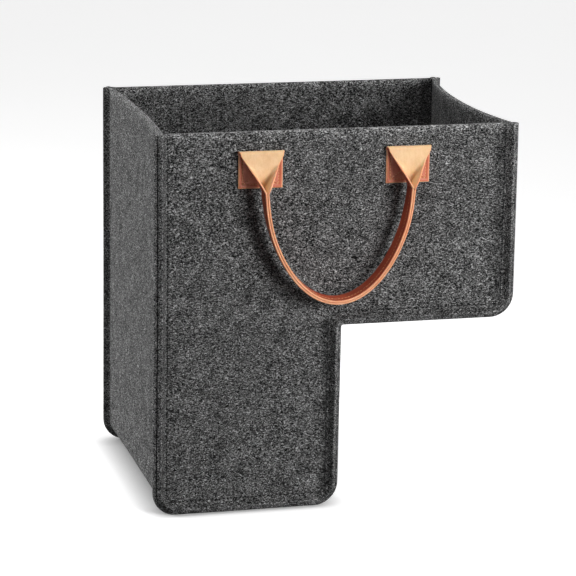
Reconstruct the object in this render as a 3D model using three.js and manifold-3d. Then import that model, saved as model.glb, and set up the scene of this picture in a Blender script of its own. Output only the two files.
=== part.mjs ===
// Felt stair basket: an L-shaped bin whose leg stands on one tread while its
// step rests on the tread above. The front and the back are flat L panels of
// thick felt, and one long felt strip, the gusset, runs down the leg side, under
// the leg, up the riser, under the step and up the step side. Each panel is sewn
// to the gusset with the raw edges outside. A leather strip on each panel is
// sewn down at both ends, folds over forward and is pinched double into a handle.
//
// Millimetres. X runs from the leg side to the step side, Y from the front to
// the back, Z up. The origin is on the floor under the middle of the part.
import * as THREE from 'three';
import { mergeVertices } from 'three/addons/utils/BufferGeometryUtils.js';
import Module from 'manifold-3d';

const wasm = await Module();
wasm.setup();

// Body, measured between the valleys of the seams and on the outer felt faces
const overallHeight = 400;    // floor to rim
const bodyWidth = 358;        // leg side to step side
const bodyDepth = 272;        // front face to back face
const legWidth = 172;         // leg side to riser side
const stairRise = 194;        // lower tread to upper tread
const cornerRadius = 12;      // rounded outside corners, at the valley
const insideTipRadius = 2;    // rounded corner over the stair nosing, at the raw edges

// Felt and seam
const felt = 4.8;
const clearance = 0.3;        // between two separate pieces
const seamAllowance = 7.8;    // straight felt outside the stitch line
const seamTurn = 51;          // degrees that each layer turns out of its own plane
const seamBendRadius = 4.6;   // centre of the felt, round that turn
const tipPressedFlat = 0.8;   // taken off the outermost corner of the gusset's raw edges
const legSideBow = 4;         // how far the rim of the leg side has sunk inward
const stepSideBow = 15.5;     // the same on the shorter step side
const bowShape = 2.2;         // exponent of the bow from front to back
const bowRise = 1.5;          // exponent of the bow from the bottom of a wall to its rim

// Leather handles
const leather = 2.1;
const stripWidth = 46;        // where the strip is sewn down and folds over
const strapDepth = 18.8;      // back of the doubled strap to its two raw edges
const tabSpacing = 155;       // between the middles of the two tabs
const handleOffset = -5;      // middle of the handle from the middle of the panel
const foldBelowRim = 19;      // rim to the top of the fold
const tabHeight = 39;         // fold to the tab's lower edge
const foldRadius = 3.4;       // centre of the leather, over the fold
const pinchRadius = 1.3;      // centre of the leather, round the back of the doubled strap
const softBendRadius = 4;     // the same where the strip's sides begin to stand up
const sidesRise = 1.3;        // exponent of the sides' standing up, from the fold to the pinch
const flapLength = 35;        // fold down to where the strip is pinched double
const flapNarrowing = 1.1;    // exponent of the narrowing from the fold to the pinch
const flapLean = 2;           // how far the pinch hangs forward of the fold
const flapBulge = 3;          // how far the flap swells forward between the two
const pinchInset = 0.8;       // how far the pinch has moved toward the other tab
const handleDrop = 154.3;     // top of the fold to the bottom of the hanging loop
const strapLean = 5.2;        // how far each leg of the loop leans inward at first
const legReach = 0.56;        // share of the strap's drop that a leg keeps that lean
const loopFullness = 0.49;    // share of the half spacing that the loop's bottom stays level
const loopFlare = 4.5;        // degrees that the raw edges spread round the hanging loop

const degrees = Math.PI / 180;
const halfWidth = bodyWidth / 2;
const halfDepth = bodyDepth / 2;

// A flat strip of material of the given thickness, drawn round its centreline:
// one side out, the other side back, with square ends.
function thicken(centre, thickness) {
  const side = (sign) => centre.map((p, i) => {
    const before = centre[Math.max(i - 1, 0)];
    const after = centre[Math.min(i + 1, centre.length - 1)];
    const a = new THREE.Vector2().subVectors(p, before).normalize();
    const b = new THREE.Vector2().subVectors(after, p).normalize();
    const along = a.clone().add(b).normalize();
    const reach = thickness / 2 / Math.max(along.dot(a.lengthSq() ? a : b), 0.5);
    return new THREE.Vector2(p.x - sign * along.y * reach, p.y + sign * along.x * reach);
  });
  return [...side(1), ...side(-1).reverse()];
}

// The triangles of a flat section, wound the same way as the section itself.
function sectionFaces(section) {
  const clockwise = THREE.ShapeUtils.isClockWise(section);
  return THREE.ShapeUtils.triangulateShape(section, []).map(([a, b, c]) => (
    THREE.ShapeUtils.isClockWise([section[a], section[b], section[c]]) === clockwise
      ? [a, b, c] : [c, b, a]));
}

// A closed skin through rings of points, with both ends closed. The faces of each
// end come from the flat section that its ring was placed from.
function loft(rings, firstSection, lastSection = firstSection) {
  const count = firstSection.length;
  const positions = rings.flat().flatMap((p) => [p.x, p.y, p.z]);
  const index = [];
  for (let r = 0; r < rings.length - 1; r++) {
    for (let i = 0; i < count; i++) {
      const a = r * count + i;
      const b = r * count + (i + 1) % count;
      index.push(a, b, b + count, a, b + count, a + count);
    }
  }
  const last = (rings.length - 1) * count;
  for (const [a, b, c] of sectionFaces(firstSection)) index.push(c, b, a);
  for (const [a, b, c] of sectionFaces(lastSection)) index.push(last + a, last + b, last + c);
  const geometry = new THREE.BufferGeometry();
  geometry.setAttribute('position', new THREE.Float32BufferAttribute(positions, 3));
  geometry.setIndex(index);
  return facingOut(geometry);
}

function facingOut(geometry) {
  const p = geometry.attributes.position;
  const index = geometry.index;
  const corner = (i) => new THREE.Vector3().fromBufferAttribute(p, index.getX(i));
  let volume = 0;
  for (let i = 0; i < index.count; i += 3) {
    volume += corner(i).dot(corner(i + 1).cross(corner(i + 2)));
  }
  if (volume < 0) {
    for (let i = 0; i < index.count; i += 3) {
      const first = index.getX(i);
      index.setX(i, index.getX(i + 2));
      index.setX(i + 2, first);
    }
  }
  return geometry;
}

function toSolid(geometry) {
  const bare = geometry.clone();
  bare.deleteAttribute('normal');
  bare.deleteAttribute('uv');
  const merged = mergeVertices(bare, 1e-4);
  return new wasm.Manifold(new wasm.Mesh({
    numProp: 3,
    vertProperties: Float32Array.from(merged.attributes.position.array),
    triVerts: Uint32Array.from(merged.index.array),
  }));
}

function toGeometry(solid) {
  const mesh = solid.getMesh();
  const geometry = new THREE.BufferGeometry();
  geometry.setAttribute('position', new THREE.BufferAttribute(mesh.vertProperties, 3));
  geometry.setIndex(new THREE.BufferAttribute(mesh.triVerts, 1));
  return geometry;
}

// The seam, seen along itself. Across is measured outward from the body outline,
// and y from the outer face of the panel into the basket. The panel's felt turns
// out of its plane toward the front, and the gusset's does the same in mirror
// image, so that the two meet on a diagonal and part again toward their raw edges.
const turnSteps = 5;
const turn = seamTurn * degrees;
const seamCentre = [];
for (let i = 0; i <= turnSteps; i++) {
  const a = turn * i / turnSteps;
  seamCentre.push(new THREE.Vector2(
    seamBendRadius * Math.sin(a), -seamBendRadius * (1 - Math.cos(a))));
}
seamCentre.push(seamCentre[turnSteps].clone().add(
  new THREE.Vector2(Math.cos(turn), -Math.sin(turn)).multiplyScalar(seamAllowance)));

const turnStart = -(seamBendRadius - felt / 2) * Math.tan(turn / 2);
const diagonal = turnStart + felt / 2 + seamBendRadius * (Math.SQRT2 - 1)
  + (felt + clearance) / Math.SQRT2;  // across + y along the line where the layers meet
const panelSeam = seamCentre.map((p) => new THREE.Vector2(turnStart + p.x, felt / 2 + p.y));
const gussetSeam = panelSeam.map((p) => new THREE.Vector2(diagonal - p.y, diagonal - p.x));

// The gusset's whole section, from its front raw edge to its back one. The bow
// moves the wall inward between the two seams, most at the middle.
const wallSteps = 10;
function gussetSection(bow) {
  const front = [...gussetSeam].reverse();
  const back = gussetSeam.map((p) => new THREE.Vector2(p.x, bodyDepth - p.y));
  const wallStart = front[front.length - 1];
  const wall = [];
  for (let i = 1; i < wallSteps; i++) {
    const along = 2 * i / wallSteps - 1;
    wall.push(new THREE.Vector2(
      wallStart.x - bow * (1 - Math.abs(along) ** bowShape),
      THREE.MathUtils.lerp(wallStart.y, bodyDepth - wallStart.y, i / wallSteps)));
  }
  return pressOutermostCorners(thicken([...front, ...wall, ...back], felt));
}

// Flattens the outermost corner of each raw edge square to the outline. These
// two narrow flats, front and back, are what the basket stands on.
function pressOutermostCorners(section) {
  const flatAt = Math.max(...section.map((p) => p.x)) - tipPressedFlat;
  return section.flatMap((p, i) => {
    if (p.x <= flatAt) return [p];
    const cut = (q) => p.clone().lerp(q, (p.x - flatAt) / (p.x - q.x));
    const before = section[(i + section.length - 1) % section.length];
    const after = section[(i + 1) % section.length];
    return [cut(before), cut(after)];
  });
}

// How far the body outline lies above the tread that the basket stands on
const tipLift = Math.max(...gussetSection(0).map((p) => p.x));

// The body outline in the X-Z plane, from the rim of the leg side round to the
// rim of the step side, as stations with their outward directions.
const leftX = -halfWidth;
const riserX = leftX + legWidth;
const rightX = halfWidth;
const stepZ = stairRise + tipLift;
const corners = [
  { x: leftX, z: overallHeight },
  { x: leftX, z: tipLift, radius: cornerRadius },
  { x: riserX, z: tipLift, radius: cornerRadius },
  { x: riserX, z: stepZ, radius: tipLift + insideTipRadius },
  { x: rightX, z: stepZ, radius: cornerRadius },
  { x: rightX, z: overallHeight },
];

const cornerSteps = 7;
function outline(longestRun) {
  const stations = [];
  const add = (at, heading) => stations.push({
    at: at.clone(), out: new THREE.Vector2(heading.y, -heading.x),
  });
  const points = corners.map((c) => new THREE.Vector2(c.x, c.z));
  let from = points[0];
  add(from, points[1].clone().sub(points[0]).normalize());
  for (let i = 1; i < points.length; i++) {
    const heading = points[i].clone().sub(points[i - 1]).normalize();
    const radius = corners[i].radius || 0;
    const next = radius ? points[i + 1].clone().sub(points[i]).normalize() : heading;
    const bend = Math.atan2(heading.cross(next), heading.dot(next));
    const start = points[i].clone().addScaledVector(heading, -radius * Math.tan(Math.abs(bend) / 2));
    const pieces = Math.max(1, Math.ceil(start.distanceTo(from) / longestRun));
    for (let k = 1; k <= pieces; k++) add(from.clone().lerp(start, k / pieces), heading);
    const toCentre = new THREE.Vector2(-heading.y, heading.x).multiplyScalar(radius * Math.sign(bend));
    const centre = start.clone().add(toCentre);
    for (let k = 1; k <= cornerSteps && radius; k++) {
      const angle = bend * k / cornerSteps;
      const turned = heading.clone().rotateAround(new THREE.Vector2(), angle);
      add(centre.clone().sub(toCentre.clone().rotateAround(new THREE.Vector2(), angle)), turned);
    }
    from = stations[stations.length - 1].at;
  }
  return stations;
}

// Places a point of the seam section at a station of the outline.
function place(station, p) {
  return new THREE.Vector3(
    station.at.x + station.out.x * p.x, p.y - halfDepth, station.at.y + station.out.y * p.x);
}

// A front or back panel: the flat L and the seam edge swept round its outline.
function panelGeometry() {
  const stations = outline(Infinity);
  const joined = 2;  // how deep the swept edge runs into the flat L
  const edge = thicken([new THREE.Vector2(turnStart - 2 * joined, felt / 2), ...panelSeam], felt);
  const inner = stations.map((s) => s.at.clone().addScaledVector(s.out, turnStart - joined));
  const flat = new THREE.ExtrudeGeometry(new THREE.Shape(inner), {
    depth: felt, bevelEnabled: false, steps: 1,
  });
  flat.rotateX(Math.PI / 2);
  flat.translate(0, felt - halfDepth, 0);
  const rim = loft(stations.map((s) => edge.map((p) => place(s, p))), edge);
  return toGeometry(toSolid(flat).add(toSolid(rim)));
}

function mirroredFrontToBack(geometry) {
  const mirrored = geometry.clone();
  const p = mirrored.attributes.position;
  for (let i = 0; i < p.count; i++) p.setY(i, -p.getY(i));
  return facingOut(mirrored);
}

// The gusset, lofted along the outline. Its two side walls sink inward toward
// the rim.
function gussetGeometry() {
  const longestRun = 60;
  const rings = outline(longestRun).map((station) => {
    const onLegSide = station.at.x < riserX;
    const foot = onLegSide ? tipLift : stepZ;
    const onSide = Math.abs(Math.abs(station.at.x) - halfWidth) < 0.001;
    const rise = onSide ? (station.at.y - foot) / (overallHeight - foot) : 0;
    const bow = (onLegSide ? legSideBow : stepSideBow) * rise ** bowRise;
    return gussetSection(bow).map((p) => place(station, p));
  });
  return loft(rings, gussetSection(legSideBow), gussetSection(stepSideBow));
}

// Handle. Everything hangs from the fold, whose centre is the hinge line.
const foldZ = overallHeight - foldBelowRim - foldRadius - leather / 2;
const tabY = -halfDepth - clearance - leather / 2;
const hingeY = tabY - foldRadius;
const flapY = hingeY - foldRadius;
const halfStrip = stripWidth / 2;
const pinchZ = foldZ - clearance - flapLength;

// A tab, with the leather rolled over at its top. The section is drawn in the
// Y-Z plane and pushed out to the width of the strip.
function tabGeometry(x) {
  const centre = [new THREE.Vector2(tabY, overallHeight - foldBelowRim - tabHeight)];
  const rollSteps = 8;
  for (let i = 0; i <= rollSteps; i++) {
    const a = Math.PI * i / rollSteps;
    centre.push(new THREE.Vector2(
      hingeY + foldRadius * Math.cos(a), foldZ + foldRadius * Math.sin(a)));
  }
  const section = thicken(centre, leather);
  const rings = [-halfStrip, halfStrip].map((dx) => section.map(
    (p) => new THREE.Vector3(x + dx, p.x, p.y)));
  return loft(rings, section);
}

// The strip seen along itself: flat when open at 0, pinched double when closed at 1.
// Its middle stays flat, narrower as it closes, and its two sides stand up forward.
function stripSection(closed) {
  const reach = THREE.MathUtils.lerp(pinchRadius, halfStrip, (1 - closed) ** flapNarrowing);
  const stand = (strapDepth - leather / 2) * closed ** sidesRise;
  const leastFlat = 0.1;
  const leastTurn = 6 * degrees;
  const leastWall = 0.6;
  const radius = THREE.MathUtils.lerp(softBendRadius, pinchRadius - leastFlat, closed);
  const bend = Math.max(leastTurn, Math.acos(Math.max(0, 1 - stand / radius)));
  const wall = Math.max(leastWall, stand - radius);
  const flat = reach - radius * Math.sin(bend) - wall * Math.cos(bend);
  const right = [];
  const bendSteps = 4;
  for (let i = 0; i <= bendSteps; i++) {
    const a = bend * i / bendSteps;
    right.push(new THREE.Vector2(flat + radius * Math.sin(a), -radius * (1 - Math.cos(a))));
  }
  right.push(right[right.length - 1].clone().add(new THREE.Vector2(
    Math.cos(bend), -Math.sin(bend)).multiplyScalar(wall)));
  const left = right.slice().reverse().map((p) => new THREE.Vector2(-p.x, p.y));
  return thicken([...left, ...right], leather);
}

// A flap: the strip closes on its way down, and its two edges draw a V.
function flapGeometry(x, inward) {
  const steps = 10;
  const rings = [];
  for (let i = 0; i <= steps; i++) {
    const closed = i / steps;
    const z = foldZ - clearance - flapLength * closed;
    const y = flapY - flapLean * closed - flapBulge * Math.sin(Math.PI * closed);
    const middle = x + inward * pinchInset * closed;
    rings.push(stripSection(closed).map((p) => new THREE.Vector3(middle + p.x, y + p.y, z)));
  }
  return loft(rings, stripSection(0), stripSection(1));
}

// The doubled strap, hanging in a loop from one flap to the other.
function strapGeometry() {
  const topZ = pinchZ - clearance;
  const bottomZ = overallHeight - foldBelowRim - handleDrop;
  const reach = tabSpacing / 2 - pinchInset;
  const point = (out, z) => new THREE.Vector2(handleOffset + out, z);
  const side = (sign) => new THREE.CubicBezierCurve(
    point(sign * reach, topZ),
    point(sign * (reach - strapLean), THREE.MathUtils.lerp(topZ, bottomZ, legReach)),
    point(sign * reach * loopFullness, bottomZ),
    point(0, bottomZ));
  const steps = 16;
  const left = side(-1);
  const right = side(1);
  const stations = [];
  for (let i = 0; i <= steps; i++) {
    stations.push({ at: left.getPointAt(i / steps), along: left.getTangentAt(i / steps) });
  }
  for (let i = steps - 1; i >= 0; i--) {
    stations.push({ at: right.getPointAt(i / steps), along: right.getTangentAt(i / steps).negate() });
  }
  const section = stripSection(1);
  const last = stations.length - 1;
  const rings = stations.map(({ at, along }, i) => {
    const fromEnd = Math.min(i, last - i) / last;
    const flare = loopFlare * degrees * THREE.MathUtils.smoothstep(fromEnd, 0, 0.15);
    return section.map((p) => {
      const q = p.clone().rotateAround(new THREE.Vector2(), flare);
      return new THREE.Vector3(at.x + along.y * q.x, flapY - flapLean + q.y, at.y - along.x * q.x);
    });
  });
  return loft(rings, section);
}

const feltMaterial = new THREE.MeshStandardMaterial({ color: 0x47484b, roughness: 0.95, metalness: 0 });
const grainMaterial = new THREE.MeshStandardMaterial({ color: 0x96502c, roughness: 0.5, metalness: 0 });
const fleshMaterial = new THREE.MeshStandardMaterial({ color: 0xdcb285, roughness: 0.8, metalness: 0 });

const basket = new THREE.Group();
function addPiece(name, geometry, material) {
  geometry.computeVertexNormals();
  const mesh = new THREE.Mesh(geometry, material);
  mesh.name = name;
  basket.add(mesh);
}

const frontPanel = panelGeometry();
addPiece('front_panel', frontPanel, feltMaterial);
addPiece('back_panel', mirroredFrontToBack(frontPanel), feltMaterial);
addPiece('gusset', gussetGeometry(), feltMaterial);

for (const face of ['front', 'back']) {
  const onFace = (geometry) => (face === 'front' ? geometry : mirroredFrontToBack(geometry));
  for (const end of ['leg', 'step']) {
    const inward = end === 'leg' ? 1 : -1;
    const x = handleOffset - inward * tabSpacing / 2;
    addPiece(`${face}_tab_${end}_end`, onFace(tabGeometry(x)), grainMaterial);
    addPiece(`${face}_flap_${end}_end`, onFace(flapGeometry(x, inward)), fleshMaterial);
  }
  addPiece(`${face}_strap`, onFace(strapGeometry()), grainMaterial);
}

export default basket;
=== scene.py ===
import math

import bmesh
import bpy
import numpy as np
from mathutils import Matrix, Vector, geometry


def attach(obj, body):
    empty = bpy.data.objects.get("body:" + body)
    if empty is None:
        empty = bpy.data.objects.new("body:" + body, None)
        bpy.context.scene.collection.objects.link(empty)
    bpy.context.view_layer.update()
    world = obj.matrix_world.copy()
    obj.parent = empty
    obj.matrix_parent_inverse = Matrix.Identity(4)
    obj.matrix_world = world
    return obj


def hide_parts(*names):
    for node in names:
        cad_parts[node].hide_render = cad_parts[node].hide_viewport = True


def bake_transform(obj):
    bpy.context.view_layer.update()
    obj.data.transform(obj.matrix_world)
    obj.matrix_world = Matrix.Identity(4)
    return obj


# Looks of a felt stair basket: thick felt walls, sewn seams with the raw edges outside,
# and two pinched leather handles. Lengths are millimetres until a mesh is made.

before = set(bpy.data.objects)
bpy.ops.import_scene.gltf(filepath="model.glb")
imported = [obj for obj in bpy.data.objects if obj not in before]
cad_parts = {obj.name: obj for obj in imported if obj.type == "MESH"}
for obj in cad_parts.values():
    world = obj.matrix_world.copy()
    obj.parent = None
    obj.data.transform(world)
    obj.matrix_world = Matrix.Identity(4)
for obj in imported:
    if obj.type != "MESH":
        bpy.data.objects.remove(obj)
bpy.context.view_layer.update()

MM = 0.001
scene = bpy.context.scene

# Body, as in the solids
HEIGHT = 400.0           # floor to rim
WIDTH = 358.0            # leg side to step side
DEPTH = 272.0            # front face to back face
LEG = 172.0              # leg side to riser side
STAIR_RISE = 194.0       # lower tread to upper tread
CORNER = 12.0            # rounded outside corners, at the valley of the seam
TIP_CORNER = 2.0         # rounded corner over the stair nosing, at the raw edges
FELT = 4.8
GAP = 0.3                # between two separate pieces
SEAM_GAP = 0.1           # between the two layers of a seam, which the thread pulls together
ALLOWANCE = 7.8          # straight felt outside the stitch line
TURN = math.radians(51)  # how far each layer of a seam turns out of its own plane
BEND = 4.6               # centre of the felt, round that turn
PRESSED = 0.8            # taken off the outermost corner of the gusset's raw edges
LEG_BOW = 4.0            # how far the rim of the leg side has sunk inward
STEP_BOW = 15.5          # the same on the shorter step side
BOW_SHAPE = 2.2          # exponent of the bow from front to back
BOW_RISE = 1.5           # exponent of the bow from the bottom of a wall to its rim

# Handles, as in the solids
STRIP = 46.0             # where the strip is sewn down and folds over
STRAP_DEPTH = 18.8       # back of the doubled strap to its two raw edges
TAB_SPACING = 155.0      # between the middles of the two tabs
HANDLE_X = -5.0          # middle of the handle from the middle of the panel
FOLD_BELOW_RIM = 19.0    # rim to the top of the fold
TAB_HEIGHT = 39.0        # fold to the tab's lower edge
LEATHER = 2.1
FOLD_RADIUS = 3.4        # centre of the leather, over the fold
FLAP = 35.0              # fold down to where the strip is pinched double
NARROWING = 1.1          # exponent of the narrowing from the fold to the pinch
FLAP_LEAN = 2.0          # how far the pinch hangs forward of the fold
FLAP_BULGE = 3.0         # how far the flap swells forward between the two
PINCH_INSET = 0.8        # how far the pinch has moved toward the other tab
DROP = 154.3             # top of the fold to the bottom of the hanging loop
LEAN = 5.2               # how far each leg of the loop leans inward at first
LEG_REACH = 0.56         # share of the strap's drop that a leg keeps that lean
FULLNESS = 0.49          # share of the half spacing that the loop's bottom stays level
LOOP_FLARE = math.radians(4.5)   # how far the raw edges spread round the hanging loop

HALF_W = WIDTH / 2
HALF_D = DEPTH / 2

# Felt, finer than the solids
TOP_ROUND = 0.9          # rounding of the cut rim
RAW_ROUND = 0.4          # rounding of the cut seam edges
ROUND_STEPS = 4          # faces over a quarter turn of such an edge
SWAY, FINE_SWAY = 0.35, 0.2      # how far hand-cut walls stand out of line
TRIM = 0.12              # cut off the allowance all along a raw edge
TRIM_WAVES = ((0.2, 70), (0.06, 14))   # size and length of the waves in that cut
RIPPLE_PARTS, RIPPLE_PEAK = 5, 1.3     # waves in a ripple, and the highest sum they reach

# Painted shade and painted highlight on the felt, as a share of the open felt's
FLANGE_SHADE = 0.75      # painted shade on the turned-out edges along a seam
VALLEY_SHADE = 0.5       # painted shade in the valley of a seam
SIDE_SHADE = 0.55        # painted shade on the panel beside a seam that faces the step side
CUT_EDGE_HIGHLIGHT = 1.7           # painted highlight on the raw edges along a seam
RIM_HIGHLIGHT = 1.9           # painted highlight on the cut rim

# Where each painted shade or highlight begins and is full, outward from the valley line or up to a
# cut
FLANGE_BAND = (-0.5, 2.5)
VALLEY_AT, VALLEY_WIDE = 1.7, 0.9
SIDE_BAND, SIDE_END = (-10.0, -8.0), (0.2, -0.8)
CUT_BAND = (1.6, 0.5)
SKIN_BAND = (FELT * 0.7, FELT * 0.3)   # depth under the skin where the painted shade of a seam's valley ends

MERGE_M = 2e-6           # points nearer than this, in metres, are one point
NEAR = 0.001             # two lengths nearer than this are equal


# Small tools
def unit(v):
    """Vectors of the same direction, one long."""
    return v / np.maximum(np.linalg.norm(v, axis=-1, keepdims=True), 1e-12)


def ripple(s, wavelength, seed):
    """A smooth run of bumps along s, between about -1 and 1."""
    rng = np.random.default_rng(seed)
    s = np.asarray(s, float)
    total = np.zeros_like(s)
    for _ in range(RIPPLE_PARTS):
        k = 2 * math.pi / wavelength * rng.uniform(0.5, 1.8)
        total += np.sin(k * s + rng.uniform(0, 2 * math.pi))
    return total / RIPPLE_PARTS ** 0.5 / RIPPLE_PEAK


def settle(p):
    """Moves points the way hand-cut felt walls stand: a little in and out, never up or down.
    The waves' lengths have no common measure, so no two places are alike."""
    p = np.asarray(p, float)
    x, y, z = p[:, 0], p[:, 1], p[:, 2]
    out = p.copy()
    out[:, 1] += (SWAY * np.sin(x / 61 + 0.7) * np.sin(z / 83 + 0.4)
                  + FINE_SWAY * np.sin(z / 37 + x / 120))
    out[:, 0] += SWAY * np.sin(y / 57 + 1.1) * np.sin(z / 79 + 2.0)
    return out


def linked(name, data):
    """A new object, in the scene."""
    obj = bpy.data.objects.new(name, data)
    scene.collection.objects.link(obj)
    return obj


def finished(name, mesh, merge=False, close=True):
    """Puts a mesh in the scene, with its small openings closed and its faces turned outward."""
    bm = bmesh.new()
    bm.from_mesh(mesh)
    if merge:
        bmesh.ops.remove_doubles(bm, verts=bm.verts, dist=MERGE_M)
    if close:
        bmesh.ops.holes_fill(bm, edges=[e for e in bm.edges if e.is_boundary], sides=0)
    bmesh.ops.recalc_face_normals(bm, faces=bm.faces)
    for face in bm.faces:
        face.smooth = True
    bm.to_mesh(mesh)
    bm.free()
    return linked(name, mesh)


def run_of(points):
    """The length along a line of points, at each of them."""
    steps = np.linalg.norm(np.diff(points, axis=0), axis=1)
    return np.concatenate([[0], np.cumsum(steps)])


def at_length(s, run, rows):
    """What the rows along a run say at the length s, column by column."""
    return np.array([np.interp(s, run, column) for column in rows.T])


def turned(v, a):
    """A 2-D vector, turned by the angle a."""
    c, s = math.cos(a), math.sin(a)
    return np.array([v[0] * c - v[1] * s, v[0] * s + v[1] * c])


def step_between(x, low, high):
    """0 below low, 1 above high and a smooth rise between them."""
    t = np.clip((x - low) / (high - low), 0, 1)
    return t * t * (3 - 2 * t)


def outside_outline(x, z):
    """How far a point lies outside the valley line of the L, or inside it if negative."""
    leg = np.maximum.reduce([LEFT - x, x - RISER, TIP_LIFT - z])
    upper = np.maximum.reduce([LEFT - x, x - RIGHT, STEP_Z - z])
    return np.minimum(leg, upper)


def painted_felt_shade(points, on_panel):
    """How pale the felt is at each point: painted shade along the seams, and painted highlight on
    the cut edges and the cut rim."""
    p = np.asarray(points, float)
    into = HALF_D - np.abs(p[:, 1])
    across = outside_outline(p[:, 0], p[:, 2])
    right, left = (outside_outline(p[:, 0] + step, p[:, 2]) for step in (0.5, -0.5))
    if not on_panel:
        across, into = DIAGONAL - into, DIAGONAL - across
    # Painted shade on the turned-out seam edges and in each seam's valley
    shade = 1 + (FLANGE_SHADE - 1) * step_between(across, *FLANGE_BAND)
    on_skin = step_between(into, *SKIN_BAND)
    valley = np.exp(-((across + VALLEY_AT) / VALLEY_WIDE) ** 2) * on_skin
    shade *= 1 + (VALLEY_SHADE - 1) * valley
    # Painted shade beside the seams on the step side, where the felt turns away from the key lamp
    if on_panel:
        painted_shading = step_between(across, *SIDE_BAND) * step_between(across, *SIDE_END)
        shade *= 1 + (SIDE_SHADE - 1) * painted_shading * np.clip(right - left, 0, 1)
    # Painted highlight on the raw edges along a seam and on the cut rim
    along = across * math.cos(TURN) - into * math.sin(TURN)
    cut_at = PANEL_SEAM[-1, 0] * math.cos(TURN) - PANEL_SEAM[-1, 1] * math.sin(TURN)
    start, full = CUT_BAND
    shade *= 1 + (CUT_EDGE_HIGHLIGHT - 1) * step_between(along, cut_at - start, cut_at - full)
    return shade * (1 + (RIM_HIGHLIGHT - 1) * step_between(p[:, 2], HEIGHT - start, HEIGHT - full))


def keep_painted_shade(obj, on_panel):
    """Stores the felt's painted shade and highlight on the mesh, where its material reads it."""
    layer = obj.data.attributes.new("shade", "FLOAT", "POINT")
    shade = painted_felt_shade([v.co / MM for v in obj.data.vertices], on_panel)
    layer.data.foreach_set("value", np.asarray(shade, np.float32))


class Builder:
    """Collects points and faces of one mesh, each face with the number of its material."""

    def __init__(self):
        self.points = []
        self.faces = []
        self.kinds = []

    def add(self, points, faces, kind=0):
        base = len(self.points)
        self.points.extend(np.asarray(points, float).tolist())
        self.faces.extend([tuple(base + i for i in f) for f in faces])
        self.kinds.extend([kind] * len(faces) if np.isscalar(kind) else list(kind))

    def cap(self, first, count, kind=0):
        """One face over count points that are there already."""
        self.faces.append(tuple(range(first, first + count)))
        self.kinds.append(kind)

    def grid(self, rows, closed=False, kind=0):
        """Quads between rows of points. kind may be one number per column."""
        rows = [np.asarray(r, float) for r in rows]
        n = len(rows[0])
        last = n if closed else n - 1
        faces, kinds = [], []
        for r in range(len(rows) - 1):
            for i in range(last):
                j = (i + 1) % n
                faces.append((r * n + i, r * n + j, (r + 1) * n + j, (r + 1) * n + i))
                kinds.append(kind if np.isscalar(kind) else kind[i])
        self.add(np.concatenate(rows), faces, kinds)

    def turn_to(self, back):
        """Mirrors what was built for the front face, where it is for the back one."""
        if back:
            self.points = (np.asarray(self.points) * [1, -1, 1]).tolist()

    def settle(self):
        self.points = settle(self.points).tolist()

    def mesh(self, name, materials):
        mesh = bpy.data.meshes.new(name)
        mesh.from_pydata((np.asarray(self.points, float) * MM).tolist(), [], self.faces)
        for m in materials:
            mesh.materials.append(m)
        mesh.polygons.foreach_set("material_index", self.kinds)
        mesh.update()
        return mesh

    def object(self, name, materials):
        """The object of a mesh without UVs, merged where its parts meet."""
        return finished(name, self.mesh(name, materials), merge=True)

    def object_with_uv(self, name, materials, uv, close=True):
        """The object of a mesh with a UV, in millimetres, at each point."""
        mesh = self.mesh(name, materials)
        layer = mesh.uv_layers.new(name="strip")
        corners = np.zeros(len(mesh.loops), np.int32)
        mesh.loops.foreach_get("vertex_index", corners)
        layer.data.foreach_set("uv", (np.asarray(uv)[corners] * MM).astype(np.float32).ravel())
        mesh.update()
        return finished(name, mesh, close=close)


def fill(loop, inner=()):
    """Triangles of a flat closed loop of 2-D points, with extra points inside it."""
    n = len(loop)
    points = [Vector(p) for p in list(loop) + list(inner)]
    edges = [(i, (i + 1) % n) for i in range(n)]
    inside_only, same_point = 1, 1e-7
    out = geometry.delaunay_2d_cdt(points, edges, [], inside_only, same_point)
    return [tuple(v) for v in out[0]], [tuple(f) for f in out[2]]


def inset(loop, by):
    """A closed loop of 2-D points moved inward by that much."""
    p = np.asarray(loop, float)
    ahead = unit(np.roll(p, -1, 0) - p)
    behind = unit(p - np.roll(p, 1, 0))
    along = unit(ahead + behind)
    area = 0.5 * np.sum(p[:, 0] * np.roll(p[:, 1], -1) - np.roll(p[:, 0], -1) * p[:, 1])
    inward = np.stack([-along[:, 1], along[:, 0]], 1) * (1 if area > 0 else -1)
    stretch = np.clip((ahead * along).sum(1), 0.6, 1)     # a sharp corner isn't drawn out further
    return p + inward * (by / stretch)[:, None]


# Seam sections
SEAM_ARC_STEPS, SEAM_RUN_STEPS = 9, 4    # faces round the seam's turn, and along its allowance
FLANGE_ROOT = 2.0        # flat felt inside the turn, where the panel's seam rows begin
WALL_STEPS = 44          # faces across a wall of the gusset
CORNER_STEPS = 10        # faces round a corner of the outline


def seam_line():
    """Where the turn of the panel's felt starts, and the felt's centre through the turn and on
    to the raw edge, as (across, in)."""
    start = -(BEND - FELT / 2) * math.tan(TURN / 2)
    a = np.linspace(0, TURN, SEAM_ARC_STEPS + 1)
    arc = np.stack([start + BEND * np.sin(a), FELT / 2 - BEND * (1 - np.cos(a))], 1)
    run = np.linspace(0, 1, SEAM_RUN_STEPS + 1)[1:, None]
    tail = arc[-1] + run * ALLOWANCE * np.array([math.cos(TURN), -math.sin(TURN)])
    return start, np.concatenate([arc, tail])


TURN_START, PANEL_SEAM = seam_line()
DIAGONAL = TURN_START + FELT / 2 + BEND * (math.sqrt(2) - 1) + (FELT + SEAM_GAP) / math.sqrt(2)
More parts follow.
